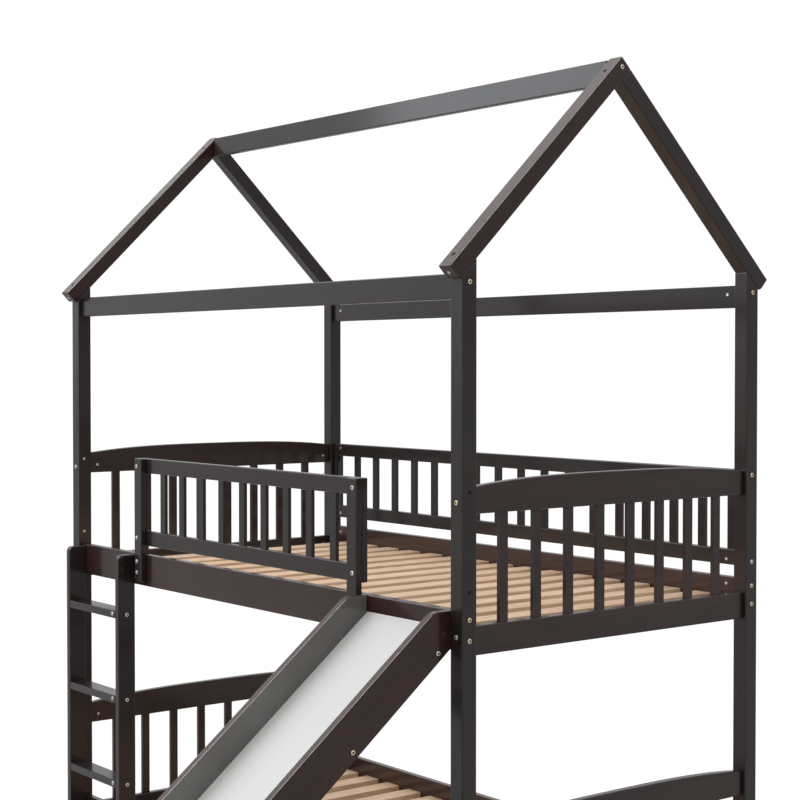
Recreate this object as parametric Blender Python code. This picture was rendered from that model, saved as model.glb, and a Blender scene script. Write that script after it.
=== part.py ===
"""House-roof bunk bed with a ladder and a slide.

Every post, rafter, rail, slat and slide board is its own solid, as the boards come out of
the carton.  The bed's long side runs along X.  The ladder and the slide stand at the front,
which faces -Y, and the floor is Z = 0.  Sizes are in metres.
"""
import bpy
import bmesh
from math import cos, degrees, radians, sin, tan
from mathutils import Vector

# Whole bed
bed_length = 2.000            # over the posts
bed_width = 1.0630            # over the posts
bunk_rise = 0.8297            # from the lower bunk to the upper one
joint_gap = 0.0003            # left between boards that are bolted face to face
edge_round = 0.0025           # every stained edge is eased by this much
edge_steps = 2
arc_steps = 6
sharp_angle = radians(35)
frame_corners = ((0, 0), (1, 0), (1, 1), (0, 1))

# Posts and roof
post_side = 0.0450
post_height = 1.7732          # at the outer face, where the rafter lies on the post
roof_pitch = radians(44.13)
rafter_depth = 0.0448
rafter_overhang = 0.0389
rafter_toe_round = 0.010
ridge_drop = 0.0057           # from the gable's peak to the ridge board's top
ridge_height = 0.0625
ridge_thickness = 0.022
eave_height = 0.0620
eave_drop = 0.0021            # from the rafter's underside to the eave board's top

# Side rails and slats, lower bunk
rail_thickness = 0.022
side_rail_height = 0.0973
side_rail_bottom = 0.0470
slat_top_below_rail = 0.0515
slat_width = 0.066
slat_thickness = 0.018
slat_count = 15
slat_end_clearance = 0.002
slat_from_left_post = 0.1210  # to the first slat's middle
slat_from_right_post = 0.1170
slat_edge_round = 0.0015
ledger_width = 0.020
ledger_height = 0.025
ledger_end_inset = 0.020
slat_let_in = 0.001           # the lower slats are glued this deep into their ledgers

# Arched end panels
end_rail_bottom = 0.0352
end_rail_height = 0.0720
end_opening = 0.2687          # from the straight rail to the arched one
arch_end_height = 0.066
arch_rise = 0.0195
arch_power = 3
arch_steps = 24
baluster_width = 0.027
baluster_thickness = 0.0105
baluster_tenon = 0.008
end_baluster_from_post = 0.1014
end_baluster_count = 8

# Guard along the back of the upper bunk
back_guard_lift = 0.0329      # from the side rail's top to the guard's low rail
back_guard_low_height = 0.0434
back_guard_opening = 0.1797
back_guard_top_height = 0.0436
back_baluster_from_post = 0.02425
back_baluster_count = 18

# Guard at the front, between the ladder's and the slide's doorways
hanger_from_ladder = 0.0306
hanger_from_slide = 0.0022
front_guard_lift = 0.0280
front_guard_thickness = 0.018
front_guard_low_height = 0.0460
front_guard_opening = 0.179
front_guard_top_height = 0.0455
front_baluster_from_end = 0.135
front_baluster_count = 9
hanger_width = 0.043
hanger_thickness = 0.0195
hanger_above_rail_foot = 0.0125

# Ladder
stile_thickness = 0.0225
stile_depth = 0.0590
stile_below_rail_top = 0.0048
stile_corner_round = 0.016
ladder_width = 0.3510         # over the stiles
ladder_from_post = 0.0010
tread_thickness = 0.024
tread_rise = 0.2665
lowest_tread = 0.2494         # middle of the lowest tread
tread_count = 3

# Slide
slide_slope = radians(38.6)
slide_wall_thickness = 0.020
slide_wall_depth = 0.1047     # square to the slope
slide_clear_width = 0.3260
slide_head_depth = 0.0852     # wall height where it meets the side rail
slide_head_round = 0.044
slide_toe_round = 0.020
deck_thickness = 0.006
deck_above_edge = 0.0332      # running face above the wall's lower edge, square to the slope
deck_floor_clearance = 0.002
batten_width = 0.044
batten_thickness = 0.020
batten_from_rail = 0.052
batten_pitch = 0.323          # along the slope
batten_count = 5

half_length = bed_length / 2
half_width = bed_width / 2
post_inner_x = half_length - post_side
post_inner_y = half_width - post_side
panel_x = half_length - post_side / 2
rail_y = half_width - post_side / 2
rail_outer_y = rail_y + rail_thickness / 2
rail_inner_y = rail_y - rail_thickness / 2
between_posts_x = (-post_inner_x + joint_gap, post_inner_x - joint_gap)
between_posts_y = (-post_inner_y + joint_gap, post_inner_y - joint_gap)

side_rail_top = side_rail_bottom + side_rail_height
upper_rail_bottom = side_rail_bottom + bunk_rise
upper_rail_top = side_rail_top + bunk_rise
slat_top = side_rail_top - slat_top_below_rail

ladder_left = -post_inner_x + ladder_from_post
ladder_right = ladder_left + ladder_width
slide_right = post_inner_x - joint_gap
slide_left = slide_right - 2 * slide_wall_thickness - slide_clear_width

rafter_drop = rafter_depth / cos(roof_pitch)
roof_peak = post_height + rafter_drop + half_width * tan(roof_pitch)


def finish(name, colour, roughness):
    """Make a plain material for one kind of board."""
    material = bpy.data.materials.new(name)
    material.use_nodes = True
    shader = material.node_tree.nodes["Principled BSDF"]
    shader.inputs["Base Color"].default_value = colour
    shader.inputs["Roughness"].default_value = roughness
    shader.inputs["Metallic"].default_value = 0
    return material


def add_part(name, form, material, place, tilt=0):
    """Put a finished bmesh into the scene, standing on the bed's own frame."""
    mesh = bpy.data.meshes.new(name)
    bmesh.ops.recalc_face_normals(form, faces=form.faces)
    form.to_mesh(mesh)
    form.free()
    mesh.materials.append(material)
    part = bpy.data.objects.new(name, mesh)
    bpy.context.collection.objects.link(part)
    part.parent = bed
    part.location = place
    part.rotation_euler.x = tilt
    return part


def ease_edges(part, width=edge_round, steps=edge_steps):
    """Round the sharp edges of a board."""
    bevel = part.modifiers.new("eased edges", "BEVEL")
    bevel.width = width
    bevel.segments = steps
    bevel.limit_method = "ANGLE"
    bevel.angle_limit = sharp_angle


def add_block(form, x, y, z):
    """Add one rectangular block to a bmesh, between two places on each axis."""
    size = Vector((x[1] - x[0], y[1] - y[0], z[1] - z[0]))
    middle = Vector((x[1] + x[0], y[1] + y[0], z[1] + z[0])) / 2
    cube = bmesh.ops.create_cube(form, size=1)
    bmesh.ops.scale(form, vec=size, verts=cube["verts"])
    bmesh.ops.translate(form, vec=middle, verts=cube["verts"])


def board(name, x, y, z, material, width=edge_round, steps=edge_steps):
    """Make a straight board between two places on each axis."""
    middle = Vector((x[0] + x[1], y[0] + y[1], z[0] + z[1])) / 2
    form = bmesh.new()
    add_block(form, x, y, z)
    bmesh.ops.translate(form, vec=-middle, verts=form.verts)
    part = add_part(name, form, material, middle)
    ease_edges(part, width, steps)
    return part


def window_board(name, x, y, z, window_x, window_z):
    """Make a flat frame of even thickness: two rails and two end boards round one opening."""
    form = bmesh.new()
    rings = []
    for face_y in y:
        outer = [form.verts.new((x[i], face_y, z[j])) for i, j in frame_corners]
        inner = [form.verts.new((window_x[i], face_y, window_z[j])) for i, j in frame_corners]
        rings.append((outer, inner))
    (near_outer, near_inner), (far_outer, far_inner) = rings
    for start in range(len(frame_corners)):
        end = (start + 1) % len(frame_corners)
        for first, second in ((near_outer, near_inner), (far_outer, far_inner),
                              (near_outer, far_outer), (near_inner, far_inner)):
            form.faces.new((first[start], first[end], second[end], second[start]))
    panel = add_part(name, form, stained, (0, 0, 0))
    ease_edges(panel)
    return panel


def add_profile(form, outline, x):
    """Add a board whose outline is drawn in the side view, Y across and Z up."""
    corners = [form.verts.new((x[0], y, z)) for y, z in outline]
    face = form.faces.new(corners)
    swept = bmesh.ops.extrude_face_region(form, geom=[face])
    moved = [item for item in swept["geom"] if isinstance(item, bmesh.types.BMVert)]
    bmesh.ops.translate(form, vec=(x[1] - x[0], 0, 0), verts=moved)


def profile_board(name, outline, x, material):
    """Make a board with a side-view outline and a thickness along X."""
    middle = (x[0] + x[1]) / 2
    form = bmesh.new()
    add_profile(form, outline, (x[0] - middle, x[1] - middle))
    part = add_part(name, form, material, (middle, 0, 0))
    ease_edges(part)
    return part


def round_corner(before, corner, after, radius):
    """Give the points of an arc that rounds one corner of an outline."""
    before, corner, after = Vector(before), Vector(corner), Vector(after)
    back = (before - corner).normalized()
    onward = (after - corner).normalized()
    half_angle = back.angle(onward) / 2
    centre = corner + (back + onward).normalized() * radius / sin(half_angle)
    start = corner + back * radius / tan(half_angle) - centre
    end = corner + onward * radius / tan(half_angle) - centre
    turn = start.angle(end)
    points = []
    for step in range(arc_steps + 1):
        share = step / arc_steps
        along = sin((1 - share) * turn) * start + sin(share * turn) * end
        points.append(tuple(centre + along / sin(turn)))
    return points


def roof_at(y):
    """Height of the roof's top line at a distance from the bed's middle."""
    return roof_peak - abs(y) * tan(roof_pitch)


def post(name, side, front_or_back):
    """A square post whose top is cut to the slope of the rafter that lies on it."""
    rafter_gap = rafter_drop + joint_gap / cos(roof_pitch)
    outer = half_width
    inner = post_inner_y
    outline = [(outer, 0), (inner, 0), (inner, roof_at(inner) - rafter_gap),
               (outer, roof_at(outer) - rafter_gap)]
    outline = [(front_or_back * y, z) for y, z in outline]
    x = sorted((side * half_length, side * post_inner_x))
    return profile_board(name, outline, x, stained)


def rafter(name, side, front_or_back):
    """A rafter: the front one runs through to the peak, the back one butts under it."""
    downhill = Vector((cos(roof_pitch), -sin(roof_pitch)))
    square = Vector((-sin(roof_pitch), -cos(roof_pitch)))
    foot_y = half_width + rafter_overhang
    foot_top = Vector((foot_y, roof_at(foot_y)))
    foot_low = foot_top + square * rafter_depth
    low_meet = Vector((0, roof_peak - rafter_drop))
    butt_y = rafter_drop / (2 * tan(roof_pitch))
    high_meet = Vector((butt_y, roof_at(butt_y)))
    if front_or_back < 0:
        peak_end = [(-butt_y, roof_at(butt_y)), (0, roof_peak)]
    else:
        peak_end = [low_meet + downhill * joint_gap, high_meet + downhill * joint_gap]
    toe = round_corner(foot_top, foot_low, low_meet, rafter_toe_round)
    outline = [tuple(foot_top)] + toe + [tuple(point) for point in peak_end]
    outline = [(front_or_back * y, z) for y, z in outline]
    x = sorted((side * half_length, side * post_inner_x))
    return profile_board(name, outline, x, stained)


def tenon_balusters(panel, name, blocks):
    """Fuse upright slats into a panel's rails with a hidden guide of all the slats."""
    form = bmesh.new()
    for x, y, z in blocks:
        add_block(form, x, y, z)
    guide = add_part(name + "_slats", form, stained, (0, 0, 0))
    guide.hide_render = True
    guide.display_type = "WIRE"
    union = panel.modifiers.new("slats", "BOOLEAN")
    union.operation = "UNION"
    union.solver = "EXACT"
    union.object = guide


def spaced(count, first, last):
    """Places of equally spaced copies from the first to the last."""
    return [first + (last - first) * step / (count - 1) for step in range(count)]


def about(middle, size):
    """The two ends of a size laid evenly about its middle."""
    return (middle - size / 2, middle + size / 2)


def end_panel(name, side, lift):
    """A head or foot panel: a straight rail, eight slats and an arched top rail."""
    low_rail = (end_rail_bottom + lift, end_rail_bottom + end_rail_height + lift)
    arch_bottom = low_rail[1] + end_opening
    arch_ends = arch_bottom + arch_end_height
    x = about(side * panel_x, rail_thickness)
    outline = [(between_posts_y[1], arch_bottom), (between_posts_y[0], arch_bottom)]
    for step in range(arch_steps + 1):
        share = 2 * step / arch_steps - 1
        height = arch_ends + arch_rise * (1 - abs(share) ** arch_power)
        outline.append((share * between_posts_y[1], height))
    form = bmesh.new()
    add_block(form, x, between_posts_y, low_rail)
    add_profile(form, outline, x)
    bmesh.ops.translate(form, vec=(-side * panel_x, 0, 0), verts=form.verts)
    panel = add_part(name, form, stained, (side * panel_x, 0, 0))
    ease_edges(panel)
    blocks = []
    outer_y = post_inner_y - end_baluster_from_post
    for y in spaced(end_baluster_count, -outer_y, outer_y):
        blocks.append((about(side * panel_x, baluster_thickness), about(y, baluster_width),
                       (low_rail[1] - baluster_tenon, arch_bottom + baluster_tenon)))
    tenon_balusters(panel, name, blocks)


def back_guard():
    """The slatted guard along the back of the upper bunk, as two rails that share its slats.

    Every other slat is fused with the low rail and the rest with the top rail, and each slat
    stops a joint's gap short of the rail it isn't fused with.
    """
    low = upper_rail_top + back_guard_lift
    low_rail = (low, low + back_guard_low_height)
    top = low_rail[1] + back_guard_opening
    top_rail = (top, top + back_guard_top_height)
    outer_x = post_inner_x - back_baluster_from_post
    places = spaced(back_baluster_count, -outer_x, outer_x)
    from_low = (low_rail[1] - baluster_tenon, top_rail[0] - joint_gap)
    from_top = (low_rail[1] + joint_gap, top_rail[0] + baluster_tenon)
    for name, rail, upright, xs in (("back_guard_low_rail", low_rail, from_low, places[::2]),
                                    ("back_guard_top_rail", top_rail, from_top, places[1::2])):
        panel = board(name, between_posts_x, about(rail_y, rail_thickness), rail, stained)
        blocks = [(about(x, baluster_width), about(rail_y, baluster_thickness), upright)
                  for x in xs]
        tenon_balusters(panel, name, blocks)


def front_guard():
    """The short guard at the front, with the two boards that hang it on the side rail."""
    left = ladder_right + hanger_from_ladder
    right = slide_left - hanger_from_slide
    low = upper_rail_top + front_guard_lift
    low_rail = (low, low + front_guard_low_height)
    top = low_rail[1] + front_guard_opening
    top_rail = (top, top + front_guard_top_height)
    y = (-rail_outer_y, -rail_outer_y + front_guard_thickness)
    panel = window_board("front_guard", (left, right), y, (low_rail[0], top_rail[1]),
                         (left + hanger_width, right - hanger_width), (low_rail[1], top_rail[0]))
    tenons = (low_rail[1] - baluster_tenon, top_rail[0] + baluster_tenon)
    middle_y = (y[0] + y[1]) / 2
    blocks = []
    for x in spaced(front_baluster_count, left + front_baluster_from_end,
                    right - front_baluster_from_end):
        blocks.append((about(x, baluster_width), about(middle_y, baluster_thickness), tenons))
    tenon_balusters(panel, "front_guard", blocks)
    hanger_y = (-rail_outer_y - hanger_thickness, -rail_outer_y - joint_gap)
    hanger_z = (upper_rail_bottom + hanger_above_rail_foot, top_rail[1])
    board("left_guard_hanger", (left, left + hanger_width), hanger_y, hanger_z, stained)
    board("right_guard_hanger", (right - hanger_width, right), hanger_y, hanger_z, stained)


def side_rail(name, front_or_back, lift):
    """One long side rail, bolted between the posts."""
    board(name, between_posts_x, about(front_or_back * rail_y, rail_thickness),
          (side_rail_bottom + lift, side_rail_top + lift), stained)


def ledger_box(front_or_back, top):
    """The strip along a side rail's inner face that the slats lie on."""
    y = sorted((front_or_back * (rail_inner_y - joint_gap),
                front_or_back * (rail_inner_y - joint_gap - ledger_width)))
    reach = post_inner_x - ledger_end_inset
    return (-reach, reach), y, (top - ledger_height, top)


def slat_boxes(top):
    """The pine slats that span a bunk from rail to rail."""
    reach = rail_inner_y - slat_end_clearance
    boxes = []
    for x in spaced(slat_count, -post_inner_x + slat_from_left_post,
                    post_inner_x - slat_from_right_post):
        boxes.append((about(x, slat_width), (-reach, reach), (top - slat_thickness, top)))
    return boxes


def upper_slats():
    """Loose slats of the upper bunk on two ledgers."""
    top = slat_top + bunk_rise
    ledger_top = top - slat_thickness - joint_gap
    for name, front_or_back in (("upper_front_ledger", -1), ("upper_back_ledger", 1)):
        board(name, *ledger_box(front_or_back, ledger_top), stained)
    for number, box in enumerate(slat_boxes(top), start=1):
        board("upper_slat_{:02d}".format(number), *box, pine, slat_edge_round, 1)


def lower_slats():
    """The lower bunk's slats, glued to their two ledgers as one base."""
    form = bmesh.new()
    ledger_top = slat_top - slat_thickness + slat_let_in
    for front_or_back in (-1, 1):
        add_block(form, *ledger_box(front_or_back, ledger_top))
    base = add_part("lower_slat_base", form, pine, (0, 0, 0))
    guide_form = bmesh.new()
    for box in slat_boxes(slat_top):
        add_block(guide_form, *box)
    guide = add_part("lower_slat_guide", guide_form, pine, (0, 0, 0))
    guide.hide_render = True
    guide.display_type = "WIRE"
    union = base.modifiers.new("slats", "BOOLEAN")
    union.operation = "UNION"
    union.solver = "EXACT"
    union.object = guide


def ladder():
    """Two stiles with rounded top corners and three flat treads between them."""
    left, right = ladder_left, ladder_right
    back = -rail_outer_y - joint_gap
    front = -rail_outer_y - stile_depth
    top = upper_rail_top - stile_below_rail_top
    nose = round_corner((front, 0), (front, top), (back, top), stile_corner_round)
    outline = [(back, 0), (front, 0)] + nose + [(back, top)]
    profile_board("left_ladder_stile", outline, (left, left + stile_thickness), stained)
    profile_board("right_ladder_stile", outline, (right - stile_thickness, right), stained)
    tread_x = (left + stile_thickness + joint_gap, right - stile_thickness - joint_gap)
    for number in range(tread_count):
        board("ladder_tread_{}".format(number + 1), tread_x, (front, back),
              about(lowest_tread + number * tread_rise, tread_thickness), stained)


def slide_height(reach, above_edge):
    """Height on the slide, at a reach out from the side rail, above the walls' lower edge."""
    head = upper_rail_top - slide_head_depth
    return head - reach * tan(slide_slope) + above_edge / cos(slide_slope)


def slide_reach(height, above_edge):
    """Reach at which a line of the slide comes down to a height."""
    return (slide_height(0, above_edge) - height) / tan(slide_slope)


def slide_side_points():
    """The slide wall's outline as reach and height: level head, slope and rounded toe."""
    head_top = (slide_reach(upper_rail_top, slide_wall_depth), upper_rail_top)
    toe_tip = (slide_reach(0, slide_wall_depth), 0)
    heel = (slide_reach(0, 0), 0)
    head_back = (joint_gap, upper_rail_top)
    head_low = (joint_gap, slide_height(joint_gap, 0))
    return ([head_low, head_back] + round_corner(head_back, head_top, toe_tip, slide_head_round)
            + round_corner(head_top, toe_tip, heel, slide_toe_round) + [heel])


def slide():
    """Two side walls, a smooth deck and the battens that carry it."""
    def at_front(points):
        return [(-rail_outer_y - reach, height) for reach, height in points]

    left_wall = (slide_left, slide_left + slide_wall_thickness)
    right_wall = (slide_right - slide_wall_thickness, slide_right)
    walls = at_front(slide_side_points())
    profile_board("slide_left_wall", walls, left_wall, stained)
    profile_board("slide_right_wall", walls, right_wall, stained)
    between = (left_wall[1] + joint_gap, right_wall[0] - joint_gap)
    under_deck = deck_above_edge - deck_thickness
    deck = [(joint_gap, slide_height(joint_gap, under_deck)),
            (joint_gap, slide_height(joint_gap, deck_above_edge)),
            (slide_reach(deck_floor_clearance, deck_above_edge), deck_floor_clearance),
            (slide_reach(deck_floor_clearance, under_deck), deck_floor_clearance)]
    form = bmesh.new()
    middle_x = (between[0] + between[1]) / 2
    add_profile(form, at_front(deck), (between[0] - middle_x, between[1] - middle_x))
    add_part("slide_deck", form, slide_white, (middle_x, 0, 0))
    batten_middle = under_deck - joint_gap - batten_thickness / 2
    for number in range(batten_count):
        reach = batten_from_rail + number * batten_pitch * cos(slide_slope)
        form = bmesh.new()
        add_block(form, about(0, between[1] - between[0]), about(0, batten_width),
                  about(0, batten_thickness))
        place = (middle_x, -rail_outer_y - reach, slide_height(reach, batten_middle))
        batten = add_part("slide_batten_{}".format(number + 1), form, stained, place, slide_slope)
        ease_edges(batten)


for old in list(bpy.data.objects):
    bpy.data.objects.remove(old, do_unlink=True)

stained = finish("espresso_stained_wood", (0.020, 0.015, 0.013, 1), 0.38)
pine = finish("pine", (0.60, 0.42, 0.26, 1), 0.60)
slide_white = finish("white_slide_face", (0.80, 0.80, 0.79, 1), 0.25)

# The bed's own frame stands so that the origin is under the middle of everything
toe_reach = max(reach for reach, height in slide_side_points())
front_reach = rail_outer_y + toe_reach
back_reach = half_width + rafter_overhang
bed = bpy.data.objects.new("bed_frame", None)
bpy.context.collection.objects.link(bed)
bed.location = (0, (front_reach - back_reach) / 2, 0)

for end, side in (("left", -1), ("right", 1)):
    for face, front_or_back in (("front", -1), ("back", 1)):
        post("{}_{}_post".format(face, end), side, front_or_back)
        rafter("{}_{}_rafter".format(face, end), side, front_or_back)
    end_panel("lower_{}_end_panel".format(end), side, 0)
    end_panel("upper_{}_end_panel".format(end), side, bunk_rise)

for face, front_or_back in (("front", -1), ("back", 1)):
    side_rail("lower_{}_side_rail".format(face), front_or_back, 0)
    side_rail("upper_{}_side_rail".format(face), front_or_back, bunk_rise)
    eave_top = roof_at(rail_outer_y) - rafter_drop - eave_drop
    board("{}_eave_beam".format(face), between_posts_x,
          about(front_or_back * rail_y, rail_thickness), (eave_top - eave_height, eave_top),
          stained)

ridge_top = roof_peak - ridge_drop
board("ridge_beam", between_posts_x, about(0, ridge_thickness),
      (ridge_top - ridge_height, ridge_top), stained)

back_guard()
front_guard()
upper_slats()
lower_slats()
ladder()
slide()
print("roof peak", round(roof_peak, 4), "pitch", round(degrees(roof_pitch), 2))
print("bed frame at y", round(bed.location.y, 4))
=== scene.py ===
# %% [markdown]
# # A house-roof bunk bed with a slide
#
# This lesson dresses a finished set of boards.  The real bed is planed pine: most of it is
# stained almost black and lacquered, the slats are left bare, and the slide has a white
# running face.  The boards already have their true size and shape, so the lesson is about
# finishes, light and the small metal fittings that hold such a bed together.

# %% Load the boards
import bpy
import bmesh
from math import atan2, cos, pi, radians, sin, tan
from mathutils import Matrix, Vector


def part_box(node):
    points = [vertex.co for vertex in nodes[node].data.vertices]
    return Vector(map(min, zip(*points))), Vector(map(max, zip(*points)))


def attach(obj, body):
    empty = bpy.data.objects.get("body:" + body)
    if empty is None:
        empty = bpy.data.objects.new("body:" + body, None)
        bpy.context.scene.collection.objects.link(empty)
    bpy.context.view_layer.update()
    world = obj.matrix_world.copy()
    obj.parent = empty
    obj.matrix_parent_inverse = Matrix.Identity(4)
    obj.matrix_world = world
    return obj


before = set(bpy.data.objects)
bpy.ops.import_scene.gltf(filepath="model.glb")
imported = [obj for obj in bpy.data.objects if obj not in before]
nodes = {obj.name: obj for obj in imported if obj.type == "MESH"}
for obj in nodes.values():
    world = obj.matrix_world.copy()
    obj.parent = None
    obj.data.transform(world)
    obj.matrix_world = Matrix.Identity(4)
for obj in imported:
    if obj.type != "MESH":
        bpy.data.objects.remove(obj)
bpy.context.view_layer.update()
print("boards:", len(nodes))

# %% [markdown]
# ## Reading sizes from the boards
#
# Every fitting sits on a board, so its place is worked out from that board's box.  Three
# helpers return the low corner, the high corner and the middle.  The bed's middle line comes
# from the posts, and a fourth helper turns a place measured from it into a point.

# %% Measure the bed
def low(name):
    """The lowest corner of a board's box."""
    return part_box(name)[0]


def high(name):
    """The highest corner of a board's box."""
    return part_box(name)[1]


def middle(name):
    """The middle of a board's box."""
    return (low(name) + high(name)) / 2


front_face = low("front_left_post").y
back_face = high("back_left_post").y
bed_middle_y = (front_face + back_face) / 2
right_end = high("front_right_post").x
left_end = low("front_left_post").x
post_side = right_end - low("front_right_post").x


def at(x, y, z):
    """A point given from the middle of the bed."""
    return Vector((x, bed_middle_y + y, z))


print("bed:", round(right_end - left_end, 3), "by", round(back_face - front_face, 3))

# %% [markdown]
# ## The camera
#
# The picture was taken from the right front corner at a grown-up's eye height.  The posts
# lean together very slightly towards the floor in it, so the camera dips by a little over a
# degree.  Its focal length was measured in the picture's own pixels, so the lens is worked
# out as a share of the picture's width.

# %% Place the camera
camera_from_middle = Vector((4.0556, -3.1043, 1.5663))
quarter_turn = radians(90)
camera_turn = radians(52.028)
camera_dip = radians(1.238)
focal_pixels = 1685.5
picture_pixels = 800
sensor_width = 36


def add_object(name, data):
    """Put a camera, a lamp or a mesh into the scene."""
    item = bpy.data.objects.new(name, data)
    bpy.context.scene.collection.objects.link(item)
    return item


camera_data = bpy.data.cameras.new("photo camera")
camera_data.sensor_width = sensor_width
camera_data.lens = sensor_width * (focal_pixels / picture_pixels)
camera = add_object("photo camera", camera_data)
camera.location = camera_from_middle + Vector((0, bed_middle_y, 0))
camera.rotation_euler = (quarter_turn - camera_dip, 0, camera_turn)
bpy.context.scene.camera = camera
print("lens", round(camera_data.lens, 2), "mm")

# %% [markdown]
# ## Working with nodes
#
# The surround and every finish are built from nodes.  A few helpers add a node, fill its
# inputs, and do the sums that come up again and again, so each recipe further down reads as
# a list of what happens to the light or to the wood.

# %% Write the node helpers
def link(tree, source, target):
    """Join an output socket to an input socket."""
    tree.links.new(source, target)


def feed(tree, source, target):
    """Fill an input with another node's output, or with a plain value."""
    if isinstance(source, bpy.types.NodeSocket):
        link(tree, source, target)
    else:
        target.default_value = source


def add_node(tree, kind, **settings):
    """Add a node and set its options."""
    node = tree.nodes.new(kind)
    for name, value in settings.items():
        setattr(node, name, value)
    return node


def set_inputs(node, values):
    """Type plain values into a node's inputs, found by their names."""
    for name, value in values.items():
        node.inputs[name].default_value = value


def map_range(tree, source, before, after=(0, 1)):
    """Stretch a value from one range to another, clamped."""
    node = add_node(tree, "ShaderNodeMapRange")
    set_inputs(node, {"From Min": before[0], "From Max": before[1],
                      "To Min": after[0], "To Max": after[1]})
    link(tree, source, node.inputs["Value"])
    return node.outputs["Result"]


def mix_colour(tree, share, first, second):
    """Blend two colours, plain or from other nodes, by a value."""
    node = add_node(tree, "ShaderNodeMix", data_type="RGBA")
    link(tree, share, node.inputs[0])
    for socket, colour in ((node.inputs[6], first), (node.inputs[7], second)):
        opaque = (*colour, 1) if isinstance(colour, tuple) else colour
        feed(tree, opaque, socket)
    return node.outputs[2]


print("node helpers: link, feed, add_node, set_inputs, map_range, mix_colour")

# %% [markdown]
# Two more helpers take a position apart: one picks its X, Y or Z, the other tells how far it
# lies along a direction.  A third gives one wherever a value is close to a set place, which
# is how a finish can find one face of a board.

# %% Write the position helpers
def part_of(tree, source, axis):
    """The X, Y or Z of a position."""
    node = add_node(tree, "ShaderNodeSeparateXYZ")
    link(tree, source, node.inputs["Vector"])
    return node.outputs[axis]


def distance_along(tree, source, direction):
    """How far a position lies along a direction."""
    node = add_node(tree, "ShaderNodeVectorMath", operation="DOT_PRODUCT")
    link(tree, source, node.inputs[0])
    feed(tree, direction, node.inputs[1])
    return node.outputs["Value"]


def close_to(tree, source, place, reach):
    """One where a value lies within reach of a place, and zero elsewhere."""
    node = add_node(tree, "ShaderNodeMath", operation="COMPARE")
    link(tree, source, node.inputs[0])
    feed(tree, place, node.inputs[1])
    node.inputs[2].default_value = reach
    return node.outputs["Value"]


print("position helpers: part_of, distance_along, close_to")

# %% [markdown]
# ## Light and floor
#
# Dark lacquered wood is nearly all reflection, so the light is planned by what each face
# mirrors.  The front boards mirror the surround at the front left, the right-hand faces the
# dimmer surround behind the bed, and everything that looks up mirrors a large soft light.
# The surround's strength is therefore worked out from its direction.

# %% Build the surround
front_light = (0.66, 0.68, 0.69)
back_light = (0.36, 0.34, 0.345)
overhead_light = (1.10, 1.09, 1.08)
seen_white = (1.05, 1.05, 1.05)
towards_front_left = Vector((-0.72, -0.69, 0))
back_to_front = (-0.6, 0.6)
level_to_overhead = (0.15, 0.6)


def studio_world():
    """A pale surround, brighter at the front left and overhead, and white to the camera."""
    world = bpy.data.worlds.new("studio")
    bpy.context.scene.world = world
    world.use_nodes = True
    tree = world.node_tree
    direction = add_node(tree, "ShaderNodeTexCoord").outputs["Generated"]
    side = distance_along(tree, direction, towards_front_left)
    around = mix_colour(tree, map_range(tree, side, back_to_front), back_light, front_light)
    height = part_of(tree, direction, "Z")
    colour = mix_colour(tree, map_range(tree, height, level_to_overhead), around, overhead_light)
    path = add_node(tree, "ShaderNodeLightPath")
    seen = mix_colour(tree, path.outputs["Is Camera Ray"], colour, seen_white)
    link(tree, seen, tree.nodes["Background"].inputs["Color"])


studio_world()
bpy.context.scene.view_settings.view_transform = "Standard"
print("surround: front", front_light, "back", back_light)

# %% [markdown]
# One large soft light hangs high at the front left.  It gives the slats and the slide their
# brightness, and the rounded edges of the dark boards a fine bright line.

# %% Hang the light
def soft_light(name, place, aim, size, power, colour):
    """A square studio light that faces a point and stays out of the picture."""
    lamp = bpy.data.lights.new(name, "AREA")
    lamp.size = size
    lamp.energy = power
    lamp.color = colour
    holder = add_object(name, lamp)
    holder.location = place
    holder.rotation_euler = (aim - place).to_track_quat("-Z", "Y").to_euler()
    holder.visible_camera = False


lamp_place = at(-1.9, -3.2, 4.0)
lamp_aim = at(0.3, 0, 1.0)
lamp_size = 3.4
lamp_power = 95
lamp_colour = (0.90, 0.95, 1.0)
soft_light("high soft light", lamp_place, lamp_aim, lamp_size, lamp_power, lamp_colour)
print("light hangs", round((lamp_place - lamp_aim).length, 2), "m from the bed")

# %% [markdown]
# The floor is a plain pale sheet, so wide that its far edge can't be seen.  It lights the bed
# from below like matt grey card, and to the camera alone it looks as white as the paper
# behind a catalogue picture.

# %% Lay the floor
floor_half_width = 200
floor_grey = (0.42, 0.42, 0.42)
floor_roughness = 0.9
floor_gloss = 0.1


def start_material(name):
    """A new material with its node tree and its shader."""
    material = bpy.data.materials.new(name)
    material.use_nodes = True
    tree = material.node_tree
    return material, tree, tree.nodes["Principled BSDF"]


def keep_mesh(form, name):
    """Write a finished form to a new mesh."""
    mesh = bpy.data.meshes.new(name)
    form.to_mesh(mesh)
    form.free()
    return mesh


def floor_paint():
    """Pale paint that lights the bed softly and looks white to the camera."""
    material, tree, paint = start_material("pale floor")
    set_inputs(paint, {"Base Color": (*floor_grey, 1), "Roughness": floor_roughness,
                       "Specular IOR Level": floor_gloss})
    glow = add_node(tree, "ShaderNodeEmission")
    glow.inputs["Color"].default_value = (*seen_white, 1)
    path = add_node(tree, "ShaderNodeLightPath")
    blend = add_node(tree, "ShaderNodeMixShader")
    link(tree, path.outputs["Is Camera Ray"], blend.inputs["Fac"])
    link(tree, paint.outputs["BSDF"], blend.inputs[1])
    link(tree, glow.outputs["Emission"], blend.inputs[2])
    link(tree, blend.outputs["Shader"], tree.nodes["Material Output"].inputs["Surface"])
    return material


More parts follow.
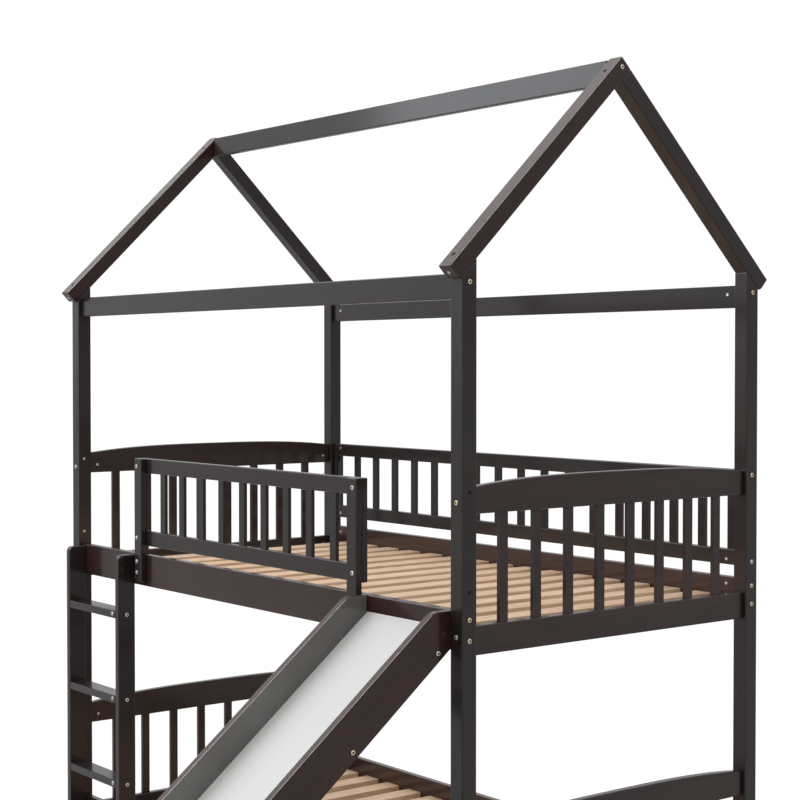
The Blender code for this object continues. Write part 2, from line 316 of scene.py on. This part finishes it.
floor_form = bmesh.new()
bmesh.ops.create_grid(floor_form, x_segments=1, y_segments=1, size=floor_half_width)
floor = add_object("floor", keep_mesh(floor_form, "floor"))
floor.data.materials.append(floor_paint())
print("floor:", 2 * floor_half_width, "m wide")

# %% [markdown]
# ## Grain
#
# All the patterns on this bed start as noise on the position of a point.  Stretching the
# position first decides the figure: a small scale along the board and a large one across it
# turn round blots into long fibres.

# %% Write the pattern helpers
noise_roughness = 0.55
even_range = (0.35, 0.65)


def position(tree):
    """The place of a point on the piece itself."""
    return add_node(tree, "ShaderNodeTexCoord").outputs["Object"]


def stretched(tree, source, scale):
    """Scale a position by a different amount on each axis."""
    node = add_node(tree, "ShaderNodeMapping")
    node.inputs["Scale"].default_value = scale
    link(tree, source, node.inputs["Vector"])
    return node.outputs["Vector"]


def noise(tree, source, scale, detail):
    """Noise with as many cycles to the metre, on each axis, as the scale says."""
    node = add_node(tree, "ShaderNodeTexNoise")
    set_inputs(node, {"Scale": 1, "Detail": detail, "Roughness": noise_roughness})
    link(tree, stretched(tree, source, scale), node.inputs["Vector"])
    return node.outputs["Fac"]


def times(tree, first, second):
    """Multiply a value by another value, or by a plain number."""
    node = add_node(tree, "ShaderNodeMath", operation="MULTIPLY")
    link(tree, first, node.inputs[0])
    feed(tree, second, node.inputs[1])
    return node.outputs["Value"]


def plus(tree, first, second):
    """Add two values, clamped from 0 to 1."""
    node = add_node(tree, "ShaderNodeMath", operation="ADD", use_clamp=True)
    link(tree, first, node.inputs[0])
    link(tree, second, node.inputs[1])
    return node.outputs["Value"]


print("noise lies mostly between", *even_range)

# %% [markdown]
# Stained and bare pine share one figure: long fibres, growth rings that drift across the
# board, and short open pores.  A node group makes all three once, with a slow change of tone
# as a fourth.  It takes a position whose X runs along the board, so each material only has to
# turn the pattern.

# %% Make the grain group
fibre_scale, fibre_detail = (7, 420, 420), 4
pore_scale, pore_detail = (45, 1500, 1500), 2
tone_scale, tone_detail = (1.3, 9, 9), 2
drift_scale, drift_detail = (1.1, 14, 14), 2
open_pore_range = (0.62, 0.72)


def start_group(name, vectors, values, results):
    """A node group with vector inputs, value inputs and value outputs, and its two ends."""
    group = bpy.data.node_groups.new(name, "ShaderNodeTree")
    for labels, way, kind in ((vectors, "INPUT", "Vector"), (values, "INPUT", "Float"),
                              (results, "OUTPUT", "Float")):
        for label in labels:
            group.interface.new_socket(name=label, in_out=way, socket_type="NodeSocket" + kind)
    given = add_node(group, "NodeGroupInput").outputs
    answer = add_node(group, "NodeGroupOutput").inputs
    return group, given, answer


def make_grain_group():
    """Fibres, growth rings, pores and slow tone changes, all from one position."""
    group, given, answer = start_group("wood grain", ["Vector"], ["Ring Scale"],
                                       ["Fibres", "Rings", "Pores", "Tone"])
    place = given["Vector"]
    fibres = noise(group, place, fibre_scale, fibre_detail)
    pores = noise(group, place, pore_scale, pore_detail)
    tone = noise(group, place, tone_scale, tone_detail)
    drift = noise(group, place, drift_scale, drift_detail)
    wave = add_node(group, "ShaderNodeMath", operation="SINE")
    link(group, times(group, drift, given["Ring Scale"]), wave.inputs[0])
    link(group, map_range(group, fibres, even_range), answer["Fibres"])
    link(group, map_range(group, wave.outputs["Value"], (-1, 1)), answer["Rings"])
    link(group, map_range(group, pores, open_pore_range), answer["Pores"])
    link(group, map_range(group, tone, even_range), answer["Tone"])
    return group


grain_group = make_grain_group()
print("grain group nodes:", len(grain_group.nodes))

# %% [markdown]
# A board's grain is placed by turning the position, and the same figure also raises a fine
# relief that can be felt on real planed pine.

# %% Place the grain in a material
relief_depth = 0.0005


def turned(tree, turn):
    """The position on a piece, turned so that its X lies along the board."""
    node = add_node(tree, "ShaderNodeMapping")
    node.inputs["Rotation"].default_value = turn
    link(tree, position(tree), node.inputs["Vector"])
    return node.outputs["Vector"]


def grain_for(tree, turn, ring_scale):
    """The grain group's outputs for a board that runs one way."""
    grain = add_node(tree, "ShaderNodeGroup", node_tree=grain_group)
    grain.inputs["Ring Scale"].default_value = ring_scale
    link(tree, turned(tree, turn), grain.inputs["Vector"])
    return grain.outputs


def bump(tree, height, strength, depth, shader):
    """Raise fine relief on a shader."""
    node = add_node(tree, "ShaderNodeBump")
    set_inputs(node, {"Strength": strength, "Distance": depth})
    link(tree, height, node.inputs["Height"])
    link(tree, node.outputs["Normal"], shader.inputs["Normal"])


print("grain relief:", relief_depth * 1000, "mm")

# %% [markdown]
# ## Espresso stain
#
# The stain sinks in unevenly: the hard rings stay redder and a little lighter, and the
# lacquer over it leaves the pores slightly dull.  The recipe asks for three tones, for the
# deepest wood, the warmest wood and the fibres.

# %% Write the stain recipe
pore_dark = (0.0035, 0.0025, 0.0025)
stain_ring_scale = 60
stain_tone_share, stain_ring_share = 0.6, 0.4
stain_fibre_share, stain_pore_share = 0.4, 0.7
dull_pore_share, dull_fibre_share = 0.3, 0.5
lacquer_roughness = (0.42, 0.60)
lacquer = {"Specular IOR Level": 0.20, "Coat Weight": 0.85, "Coat Roughness": 0.14}
relief_ring_share, relief_fibre_share = 0.5, 0.5
stain_relief = 0.10


def stained_wood(name, turn, deep, warm, fibre):
    """Dark stained and lacquered pine with its grain along one direction."""
    material, tree, shader = start_material(name)
    grain = grain_for(tree, turn, stain_ring_scale)
    streaks = plus(tree, times(tree, grain["Tone"], stain_tone_share),
                   times(tree, grain["Rings"], stain_ring_share))
    body = mix_colour(tree, streaks, deep, warm)
    fibred = mix_colour(tree, times(tree, grain["Fibres"], stain_fibre_share), body, fibre)
    pored = mix_colour(tree, times(tree, grain["Pores"], stain_pore_share), fibred, pore_dark)
    link(tree, pored, shader.inputs["Base Color"])
    dulled = plus(tree, times(tree, grain["Pores"], dull_pore_share),
                  times(tree, grain["Fibres"], dull_fibre_share))
    link(tree, map_range(tree, dulled, (0, 1), lacquer_roughness), shader.inputs["Roughness"])
    set_inputs(shader, lacquer)
    height = plus(tree, times(tree, grain["Rings"], relief_ring_share),
                  times(tree, grain["Fibres"], relief_fibre_share))
    bump(tree, height, stain_relief, relief_depth, shader)
    return material


print("lacquer roughness:", *lacquer_roughness)

# %% [markdown]
# The recipe is then mixed once for each kind of board, because grain always runs with a
# board's length and the boards came out of the stain in slightly different shades: the end
# panels browner, and the front side rails, the front rafters and the slide's walls redder.
# The back side rails get lighter, warmer tones, which are painted light: the warm glow that
# the bare slats throw onto them.

# %% Mix the stains
roof_pitch = radians(44.13)
slide_slope = radians(38.6)
lengthwise = (0, 0, 0)
across = (0, 0, -quarter_turn)
upright = (0, quarter_turn, 0)
down_front = (-roof_pitch, 0, -quarter_turn)
down_back = (roof_pitch, 0, -quarter_turn)
down_slide = (-slide_slope, 0, -quarter_turn)

plain = ((0.010, 0.006, 0.006), (0.020, 0.010, 0.010), (0.024, 0.018, 0.018))
panelled = ((0.016, 0.007, 0.007), (0.034, 0.014, 0.013), (0.034, 0.024, 0.024))
# painted light: lighter, warmer tones stand in for the glow the bare slats throw on the back side
# rails
slat_lit_rail_tones = ((0.024, 0.010, 0.008), (0.054, 0.021, 0.017), (0.044, 0.028, 0.024))
reddish = ((0.018, 0.005, 0.005), (0.040, 0.009, 0.009), (0.028, 0.013, 0.012))
stain_kinds = (
    ("along bed", lengthwise, plain), ("side rail", lengthwise, slat_lit_rail_tones),
    ("front side rail", lengthwise, reddish), ("across bed", across, panelled),
    ("upright", upright, plain), ("front rafter", down_front, reddish),
    ("back rafter", down_back, plain), ("slide wall", down_slide, reddish))
stained = {kind: stained_wood("stained " + kind, turn, *tones)
           for kind, turn, tones in stain_kinds}
print("stains mixed:", len(stained))

# %% [markdown]
# The walls' inner faces look greyer than their outer ones.  That grey is painted reflection:
# it stands in for the white running face mirrored in the lacquer, broken into patches.  The
# painted part is found by its place between the two walls, so the finish stays one material
# for both walls.

# %% Paint the reflection on the slide's inner faces
reflection_reach = 0.0006
reflection_patch_scale, reflection_patch_detail = (5, 5, 5), 3
reflection_shares = (0.65, 1.0)
# painted reflection: this grey stands in for the white running face mirrored in the inner faces
painted_deck_reflection_grey = (0.135, 0.137, 0.132)
patch_range = (0.3, 0.7)
slide_middle_x = (low("slide_left_wall").x + high("slide_right_wall").x) / 2
inner_half = (low("slide_right_wall").x - high("slide_left_wall").x) / 2


def paint_over(material, share, colour):
    """Blend a colour over a material's own, by a value."""
    tree = material.node_tree
    base = tree.nodes["Principled BSDF"].inputs["Base Color"]
    before = base.links[0].from_socket
    link(tree, mix_colour(tree, share, before, colour), base)


def paint_inner_reflection(material):
    """Paint patches of reflected white wherever a stain lies between the slide's walls."""
    tree = material.node_tree
    place = position(tree)
    inside = close_to(tree, part_of(tree, place, "X"), slide_middle_x, inner_half + reflection_reach)
    patches = map_range(tree, noise(tree, place, reflection_patch_scale, reflection_patch_detail), patch_range,
                        reflection_shares)
    paint_over(material, times(tree, inside, patches), painted_deck_reflection_grey)


paint_inner_reflection(stained["slide wall"])
print("slide middle", round(slide_middle_x, 3), "between walls", round(2 * inner_half, 3))

# %% [markdown]
# The sloping boards have sharp upper edges where a rounded edge would catch the high light,
# so a pale line is painted along each as a painted highlight, broken here and there.  A point
# lies on such a line when it is close both to the board's top plane and to one of its side
# faces.  Rafters and slide walls both have it, so it is a node group too, which asks for the two
# planes.

# %% Make the painted edge highlight group
edge_reach = 0.0013
# painted highlight: this pale colour stands in for the light a rounded edge would catch
edge_highlight_colour = (0.72, 0.69, 0.65)
highlight_break_scale, highlight_break_detail = (60, 60, 60), 2
highlight_break_shares = (0.55, 1.0)


def make_edge_highlight_group():
    """A broken painted highlight where a board's top plane meets one side face."""
    group, given, answer = start_group("painted edge highlight", ["Vector", "Upward"], ["Top", "Side"],
                                       ["Line"])
    place = given["Vector"]
    rise = distance_along(group, place, given["Upward"])
    at_top = close_to(group, rise, given["Top"], edge_reach)
    at_side = close_to(group, part_of(group, place, "X"), given["Side"], edge_reach)
    highlight_break = map_range(group, noise(group, place, highlight_break_scale, highlight_break_detail), patch_range,
                     highlight_break_shares)
    link(group, times(group, times(group, at_top, at_side), highlight_break), answer["Line"])
    return group


edge_highlight_group = make_edge_highlight_group()
print("pale edges reach", edge_reach * 1000, "mm")

# %% [markdown]
# The board's own highest points give the height of its top plane, measured square to the
# slope.  The front rafters show the painted highlight on their right face only, the slide's
# walls on both.

# %% Paint the edge highlights
def paint_edge_highlight(material, board, upward, side):
    """Paint a highlight line along one upper edge of a sloping board."""
    tree = material.node_tree
    edge = add_node(tree, "ShaderNodeGroup", node_tree=edge_highlight_group)
    top = max(upward.dot(vert.co) for vert in nodes[board].data.vertices)
    set_inputs(edge, {"Upward": upward, "Top": top, "Side": side})
    link(tree, position(tree), edge.inputs["Vector"])
    paint_over(material, edge.outputs["Line"], edge_highlight_colour)


roof_upward = Vector((0, -sin(roof_pitch), cos(roof_pitch)))
slide_upward = Vector((0, -sin(slide_slope), cos(slide_slope)))
for board in ("front_left_rafter", "front_right_rafter"):
    paint_edge_highlight(stained["front rafter"], board, roof_upward, high(board).x)
for board in ("slide_left_wall", "slide_right_wall"):
    for side in (low(board).x, high(board).x):
        paint_edge_highlight(stained["slide wall"], board, slide_upward, side)
print("nodes in the slide wall's stain:", len(stained["slide wall"].node_tree.nodes))

# %% [markdown]
# ## Bare pine
#
# The slats are planed and unfinished: cream between the rings and tan on them.  Each was cut
# from another plank and has its own tone.  The grain group's slow tone gives that, because
# it changes across the bed about as often as one slat follows the next.

# %% Mix the pine
plank_tan, plank_cream = (0.68, 0.43, 0.26), (0.86, 0.62, 0.43)
ring_tan, pine_ring_share = (0.56, 0.33, 0.18), 0.55
fibre_cream, pine_fibre_share = (0.86, 0.70, 0.52), 0.35
pore_brown, pine_pore_share = (0.30, 0.16, 0.08), 0.35
pine_ring_scale = 90
planed_roughness = (0.62, 0.50)
pine_relief = 0.2


def bare_pine(name, turn):
    """Planed, unfinished pine."""
    material, tree, shader = start_material(name)
    grain = grain_for(tree, turn, pine_ring_scale)
    planks = mix_colour(tree, grain["Tone"], plank_tan, plank_cream)
    ringed = mix_colour(tree, times(tree, grain["Rings"], pine_ring_share), planks, ring_tan)
    fibred = mix_colour(tree, times(tree, grain["Fibres"], pine_fibre_share), ringed,
                        fibre_cream)
    pored = mix_colour(tree, times(tree, grain["Pores"], pine_pore_share), fibred, pore_brown)
    link(tree, pored, shader.inputs["Base Color"])
    roughness = map_range(tree, grain["Rings"], (0, 1), planed_roughness)
    link(tree, roughness, shader.inputs["Roughness"])
    bump(tree, grain["Fibres"], pine_relief, relief_depth, shader)
    return material


pine_across = bare_pine("bare pine", across)
print("slats in", pine_across.name)

# %% [markdown]
# ## The slide's running face
#
# It is a thin laminated board: white, smooth and faintly mottled where light slides along
# it, with hair-fine scuffs that run downhill.

# %% Mix the slide face
laminate_white = (0.665, 0.66, 0.65)
scuff_grey = (0.57, 0.565, 0.555)
scuff_scale, scuff_detail = (4, 500, 500), 3
scuff_range = (0.60, 0.75)
scuff_share = 0.25
mottle_scale, mottle_detail = (60, 60, 60), 2
laminate_roughness = (0.28, 0.40)
mottle_relief, mottle_depth = 0.05, 0.0004


def slide_laminate():
    """White laminate with faint mottling and downhill scuffs."""
    material, tree, shader = start_material("white laminate")
    downhill = turned(tree, down_slide)
    scuffs = map_range(tree, noise(tree, downhill, scuff_scale, scuff_detail), scuff_range)
    colour = mix_colour(tree, times(tree, scuffs, scuff_share), laminate_white, scuff_grey)
    link(tree, colour, shader.inputs["Base Color"])
    mottle = noise(tree, downhill, mottle_scale, mottle_detail)
    roughness = map_range(tree, mottle, patch_range, laminate_roughness)
    link(tree, roughness, shader.inputs["Roughness"])
    bump(tree, mottle, mottle_relief, mottle_depth, shader)
    return material


laminate = slide_laminate()
print("slide face in", laminate.name)

# %% [markdown]
# ## Dressing the boards
#
# Each board's name says which way it runs, so a short table of words is enough to give
# every board the finish whose grain lies along it.  The first word that fits wins, and the
# empty one at the end fits every board that is left.

# %% Give each board its finish
finish_by_word = (
    ("slat", pine_across), ("deck", laminate), ("slide_batten", stained["along bed"]),
    ("slide_", stained["slide wall"]), ("front_left_rafter", stained["front rafter"]),
    ("front_right_rafter", stained["front rafter"]), ("rafter", stained["back rafter"]),
    ("post", stained["upright"]), ("stile", stained["upright"]),
    ("hanger", stained["upright"]), ("end_panel", stained["across bed"]),
    ("front_side_rail", stained["front side rail"]), ("side_rail", stained["side rail"]),
    ("", stained["along bed"]))

for name, board in nodes.items():
    finish = next(material for word, material in finish_by_word if word in name)
    board.data.materials.clear()
    board.data.materials.append(finish)
print("dressed", len(nodes), "boards")

# %% [markdown]
# ## Bolt heads
#
# The frame is drawn together by bolts with flat round heads and six-sided sockets.  Every
# round fitting starts as the same plate: a disc whose face is raised by an extrude.

# %% Raise a round plate
def raised_plate(radius, height, sides):
    """A round plate standing along Z, and its upper face."""
    form = bmesh.new()
    bmesh.ops.create_circle(form, cap_ends=True, segments=sides, radius=radius)
    raised = bmesh.ops.extrude_face_region(form, geom=form.faces[:])["geom"]
    rim = [item for item in raised if isinstance(item, bmesh.types.BMVert)]
    bmesh.ops.translate(form, vec=(0, 0, height), verts=rim)
    cap = [item for item in raised if isinstance(item, bmesh.types.BMFace)]
    return form, cap


def press_down(form, faces, depth):
    """Sink one face below its neighbours and give its floor the second finish."""
    floor_face = bmesh.ops.extrude_discrete_faces(form, faces=faces)["faces"][0]
    bmesh.ops.translate(form, vec=(0, 0, -depth), verts=floor_face.verts)
    floor_face.material_index = 1
    return floor_face


print("plate helpers: raised_plate, press_down")

# %% [markdown]
# A head gets a bevelled rim by an inset and is pressed down in the middle.  Pushing the
# socket's rim onto a hexagon gives the key its corners, and the socket has a second, dark
# finish, because no light reaches into it.

# %% Model one bolt head
head_radius = 0.0059
head_height = 0.0020
head_rim_share = 0.14
head_sides = 24
socket_radius = 0.0027
socket_depth = 0.0015
wall_share = 0.6


def push_to_hexagon(verts, flat_radius):
    """Move a ring of points out to the outline of a hexagon."""
    for vert in verts:
        angle = atan2(vert.co.y, vert.co.x)
        from_flat = (angle + pi / 6) % (pi / 3) - pi / 6
        reach = flat_radius / cos(from_flat)
        vert.co.x, vert.co.y = reach * cos(angle), reach * sin(angle)


def pressed_disc(name, radius, height, rim_share, inner_radius, depth, sides, hexagon=False):
    """A round head with a bevelled rim and a dark recess in the middle."""
    form, cap = raised_plate(radius, height * wall_share, sides)
    bmesh.ops.inset_region(form, faces=cap, thickness=radius * rim_share,
                           depth=height * (1 - wall_share))
    flat_width = radius * (1 - rim_share) - inner_radius
    bmesh.ops.inset_region(form, faces=cap, thickness=flat_width)
    if hexagon:
        push_to_hexagon(cap[0].verts, inner_radius)
    recess_floor = press_down(form, cap, depth)
    for edge in recess_floor.edges:
        for face in edge.link_faces:
            face.material_index = 1
    bmesh.ops.recalc_face_normals(form, faces=form.faces)
    return keep_mesh(form, name)


bolt_mesh = pressed_disc("bolt head", head_radius, head_height, head_rim_share, socket_radius,
                         socket_depth, head_sides, hexagon=True)
print("faces in one bolt head:", len(bolt_mesh.polygons))

# %% [markdown]
# Each bolt ends in a barrel nut, a small steel cylinder sunk into the inner face of the next
# board.  Only its end shows, with a slot to turn it by.  The slot is cut by slicing the disc
# twice and pressing the strip down.

# %% Model one barrel nut
nut_radius = 0.0043
nut_height = 0.0007
nut_rim_share = 0.16
nut_sides = 20
slot_half_width = 0.0006
slot_depth = 0.0004


def in_slot(face):
    """Whether a face looks up and lies between the two cuts, in the middle of the nut."""
    centre = face.calc_center_median()
    in_strip = abs(centre.y) < slot_half_width and abs(centre.x) < nut_radius / 2
    return in_strip and face.normal.z > cos(quarter_turn / 2)


def barrel_nut():
    """The slotted end of a barrel nut, standing up along Z."""
    form, cap = raised_plate(nut_radius, nut_height, nut_sides)
    bmesh.ops.inset_region(form, faces=cap, thickness=nut_radius * nut_rim_share)
    for side in (-1, 1):
        bmesh.ops.bisect_plane(form, geom=form.verts[:] + form.edges[:] + form.faces[:],
                               plane_co=(0, side * slot_half_width, 0), plane_no=(0, 1, 0))
    press_down(form, [face for face in form.faces if in_slot(face)], slot_depth)
    bmesh.ops.recalc_face_normals(form, faces=form.faces)
    return keep_mesh(form, "barrel nut")


nut_mesh = barrel_nut()
print("faces in one barrel nut:", len(nut_mesh.polygons))

# %% [markdown]
# ## Metal
#
# About half of the bolts are yellow-zinc plated, and the other bolts and the barrel nuts
# bright zinc.  Plating is never even, so its colour and gloss drift a little over each head.

# %% Mix the plating
plating_metallic = 0.75
plating_scale, plating_detail = (350, 350, 350), 3
plating_roughness = (0.30, 0.50)
shade_mottle_scale, shade_mottle_detail = (600, 600, 600), 2
# painted shade: these near-black tones fill the floors of sockets, slots and holes
recess_black, recess_brown = (0.002, 0.002, 0.002), (0.010, 0.008, 0.006)
recess_roughness = 0.8
recess_gloss = 0.2


def plated_metal(name, bright, dull):
    """Zinc-plated steel with slightly uneven colour and gloss."""
    material, tree, shader = start_material(name)
    shader.inputs["Metallic"].default_value = plating_metallic
    patches = noise(tree, position(tree), plating_scale, plating_detail)
    spread = map_range(tree, patches, even_range)
    link(tree, mix_colour(tree, spread, bright, dull), shader.inputs["Base Color"])
    roughness = map_range(tree, patches, patch_range, plating_roughness)
    link(tree, roughness, shader.inputs["Roughness"])
    return material


def dark_recess():
    """Painted shade for the bottom of a socket, a slot or an empty hole, mottled a little."""
    material, tree, shader = start_material("dark recess")
    # the mottle only varies the painted shade a little
    shade_mottle = noise(tree, position(tree), shade_mottle_scale, shade_mottle_detail)
    link(tree, mix_colour(tree, shade_mottle, recess_black, recess_brown), shader.inputs["Base Color"])
    set_inputs(shader, {"Roughness": recess_roughness, "Specular IOR Level": recess_gloss})
    return material


yellow_zinc = plated_metal("yellow zinc", (1.00, 0.91, 0.70), (0.90, 0.74, 0.48))
white_zinc = plated_metal("white zinc", (1.00, 0.98, 0.95), (0.84, 0.83, 0.81))
recess = dark_recess()
print("metals:", yellow_zinc.name, white_zinc.name)

# %% [markdown]
# ## Setting fittings in place
#
# Heads that share a job become one piece: the shape is copied to each place, turned to
# face away from the wood, and spun a little so no two sockets line up.

# %% Write the placing helper
spin_step = radians(137.5)
crease_angle = radians(30)
right, left = Vector((1, 0, 0)), Vector((-1, 0, 0))
to_front, to_back = Vector((0, -1, 0)), Vector((0, 1, 0))
straight_up = Vector((0, 0, 1))


def set_fittings(name, shape, places, *finishes):
    """Copy one fitting to many places as a single piece."""
    form = bmesh.new()
    for number, (place, outward) in enumerate(places):
        before = set(form.verts)
        form.from_mesh(shape)
        fresh = [vert for vert in form.verts if vert not in before]
        facing = outward.to_track_quat("Z", "Y").to_matrix().to_4x4()
        spin = Matrix.Rotation(number * spin_step, 4, "Z")
        bmesh.ops.transform(form, matrix=Matrix.Translation(place) @ facing @ spin, verts=fresh)
    mesh = keep_mesh(form, name)
    for finish in finishes:
        mesh.materials.append(finish)
    mesh.shade_smooth()
    mesh.set_sharp_from_angle(angle=crease_angle)
    piece = add_object(name, mesh)
    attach(piece, "root")
    print(name, len(places))


print("each fitting turns", round(spin_step, 2), "radians further than the last")

# %% [markdown]
# ## Bolts through the posts
#
# Long bolts run through each post into the end of the board beyond it: along the bed into
# the eave boards, guards and side rails, and across it into the end panels.  The front posts
# have the guard's holes too, but the front guard hangs on its own strips, so there they stay
# empty.

# %% Place the bolts along the bed
bunk_rise = low("upper_left_end_panel").z - low("lower_left_end_panel").z
post_y = (back_face - front_face - post_side) / 2
post_x = right_end - post_side / 2
eave_bolt_drop = 0.0215
eave_bolt = high("front_eave_beam").z - eave_bolt_drop
guard_bolts = (1.2595, 1.0205)
rail_bolts = (0.9545, 0.9040)
ends = ((left_end, left), (right_end, right))
brass_bolts, steel_bolts, empty_holes = [], [], []

for side, sign in (("front", -1), ("back", 1)):
    for x, outward in ends:
        for height in (eave_bolt, *rail_bolts):
            brass_bolts.append((at(x, sign * post_y, height), outward))
        for height in rail_bolts:
            brass_bolts.append((at(x, sign * post_y, height - bunk_rise), outward))
        for height in guard_bolts:
            if side == "front":
                kind = empty_holes
            elif height == min(guard_bolts):
                kind = steel_bolts
            else:
                kind = brass_bolts
            kind.append((at(x, sign * post_y, height), outward))
print("brass", len(brass_bolts), "steel", len(steel_bolts), "empty", len(empty_holes))

# %% [markdown]
# The bolts across the bed sit at two heights on each end panel, the upper one yellow and
# the lower one bright zinc.  The front left post is the odd one: both are bright zinc there,
# and the upper one sits a little lower than on the other posts.

# %% Place the bolts across the bed
panel_bolts = (1.2345, 0.9125)
front_left_drop = 0.008

for x in (-post_x, post_x):
    for face_y, outward in ((front_face, to_front), (back_face, to_back)):
        front_left = x < 0 and outward == to_front
        for drop in (0, bunk_rise):
            for height in panel_bolts:
                lower_one = height == min(panel_bolts)
                fall = drop + (front_left_drop if front_left and not lower_one else 0)
                kind = steel_bolts if front_left or lower_one else brass_bolts
                kind.append((Vector((x, face_y, height - fall)), outward))
print("brass", len(brass_bolts), "steel", len(steel_bolts))

# %% [markdown]
# ## Bolts in the rest of the bed
#
# The guard's hanging strips are bolted to the guard and to the side rail, the ladder's
# stiles to each tread, the slide's walls to each batten, and the front rafters to the
# ridge board.  Each tread shows one more bolt in its front edge, near its right end.

# %% Place the other bolts
hanger_bolts = (1.2475, 1.0270, 0.9530, 0.9190)
left_hanger_shift, right_hanger_shift = -0.006, 0.005
tread_bolt_inset, tread_bolt_lift = 0.017, 0.002
batten_bolt_shift = Vector((0, 0.0035, 0.006))
ridge_bolt = 2.3235
tread_count, batten_count = 3, 5

for hanger, shift in (("left_guard_hanger", left_hanger_shift),
                      ("right_guard_hanger", right_hanger_shift)):
    for height in hanger_bolts:
        spot = Vector((middle(hanger).x + shift, low(hanger).y, height))
        steel_bolts.append((spot, to_front))
stile_y = middle("left_ladder_stile").y
for number in range(1, tread_count + 1):
    tread = "ladder_tread_%d" % number
    height = middle(tread).z
    edge_spot = Vector((high(tread).x - tread_bolt_inset, low(tread).y, height + tread_bolt_lift))
    steel_bolts.append((Vector((low("left_ladder_stile").x, stile_y, height)), left))
    steel_bolts.append((Vector((high("right_ladder_stile").x, stile_y, height)), right))
    steel_bolts.append((edge_spot, to_front))
for number in range(1, batten_count + 1):
    batten = middle("slide_batten_%d" % number)
    kind = steel_bolts if number == 1 else brass_bolts
    for x, outward in ((low("slide_left_wall").x, left), (high("slide_right_wall").x, right)):
        kind.append((batten + batten_bolt_shift + Vector((x - batten.x, 0, 0)), outward))
for x, outward in ends:
    brass_bolts.append((at(x, 0, ridge_bolt), outward))

set_fittings("brass_bolts", bolt_mesh, brass_bolts, yellow_zinc, recess)
set_fittings("steel_bolts", bolt_mesh, steel_bolts, white_zinc, recess)

# %% [markdown]
# ## Barrel nuts
#
# A nut sits a few centimetres in from each joint, on the face that looks into the bed.  The
# front left post's guard holes are closed from inside by two more.

# %% Place the barrel nuts
left_nut_inset, right_nut_inset = 0.044, 0.036
panel_nut_inset = 0.028
nut_drop = 0.003
low_guard_nut_lift = 0.002
closing_nut_shift, closing_nut_drop = 0.004, 0.006
inner_post_x = post_x - post_side / 2
left_nut_x, right_nut_x = left_nut_inset - inner_post_x, inner_post_x - right_nut_inset
rail_inner = low("back_eave_beam").y - bed_middle_y
panel_nut_y = post_y - post_side / 2 - panel_nut_inset
panel_faces = ((high("upper_left_end_panel").x, right), (low("upper_right_end_panel").x, left))
nuts = []

for sign, inward in ((-1, to_back), (1, to_front)):
    heights = [eave_bolt - nut_drop, *rail_bolts, *(height - bunk_rise for height in rail_bolts)]
    if inward == to_front:
        heights += [max(guard_bolts), min(guard_bolts) + low_guard_nut_lift]
    for x in (left_nut_x, right_nut_x):
        nuts += [(at(x, sign * rail_inner, height), inward) for height in heights]
for x, inward in panel_faces:
    for y in (-panel_nut_y, panel_nut_y):
        for drop in (0, bunk_rise):
            nuts += [(at(x, y, height - drop - nut_drop), inward) for height in panel_bolts]
for height in guard_bolts:
    spot = at(-inner_post_x, -post_y - closing_nut_shift, height - closing_nut_drop)
    nuts.append((spot, right))
set_fittings("barrel_nuts", nut_mesh, nuts, white_zinc, recess)

# %% [markdown]
# ## Sunk screws and empty holes
#
# Two screws hold each rafter from above, sunk so deep that they show as dark rings, and a
# steel plug closes the end of each foot.  The dark in each ring's hole is painted shade.  An
# empty bolt hole gets the same ring.  The screws stand square to the roof, and the plugs look
# down along it.

# %% Model the ring and place the sunk screws
ring_radius, ring_height = 0.0060, 0.0006
ring_rim_share = 0.10
hole_radius, hole_depth = 0.0046, 0.0004
ring_sides = 20
roof_peak = 2.3512
screw_reaches = (0.541, 0.040)
foot_y, foot_z = 0.5548, 1.7817
ring_mesh = pressed_disc("sunk ring", ring_radius, ring_height, ring_rim_share, hole_radius,
                         hole_depth, ring_sides)
sunk_screws, foot_plugs = [], []

for x in (-post_x, post_x):
    for sign in (-1, 1):
        square = Vector((0, sign * sin(roof_pitch), cos(roof_pitch)))
        along = Vector((0, sign * cos(roof_pitch), -sin(roof_pitch)))
        for reach in screw_reaches:
            height = roof_peak - reach * tan(roof_pitch)
            sunk_screws.append((at(x, sign * reach, height), square))
        foot_plugs.append((at(x, sign * foot_y, foot_z), along))
rings = sunk_screws + empty_holes
set_fittings("sunk_screws", ring_mesh, rings, stained["upright"], recess)
set_fittings("rafter_foot_plugs", nut_mesh, foot_plugs, white_zinc, recess)

# %% [markdown]
# ## Slat screws
#
# Every slat of the upper bunk is held by one small countersunk screw at each end.

# %% Place the slat screws
screw_radius, screw_height = 0.0034, 0.0004
screw_rim_share = 0.12
drive_radius, drive_depth = 0.0013, 0.0003
screw_sides = 12
screw_inset = 0.010
screw_mesh = pressed_disc("slat screw", screw_radius, screw_height, screw_rim_share,
                          drive_radius, drive_depth, screw_sides)
slat_screws = []

for name in sorted(nodes):
    if name.startswith("upper_slat"):
        for y in (low(name).y + screw_inset, high(name).y - screw_inset):
            slat_screws.append((Vector((middle(name).x, y, high(name).z)), straight_up))
set_fittings("slat_screws", screw_mesh, slat_screws, white_zinc, recess)
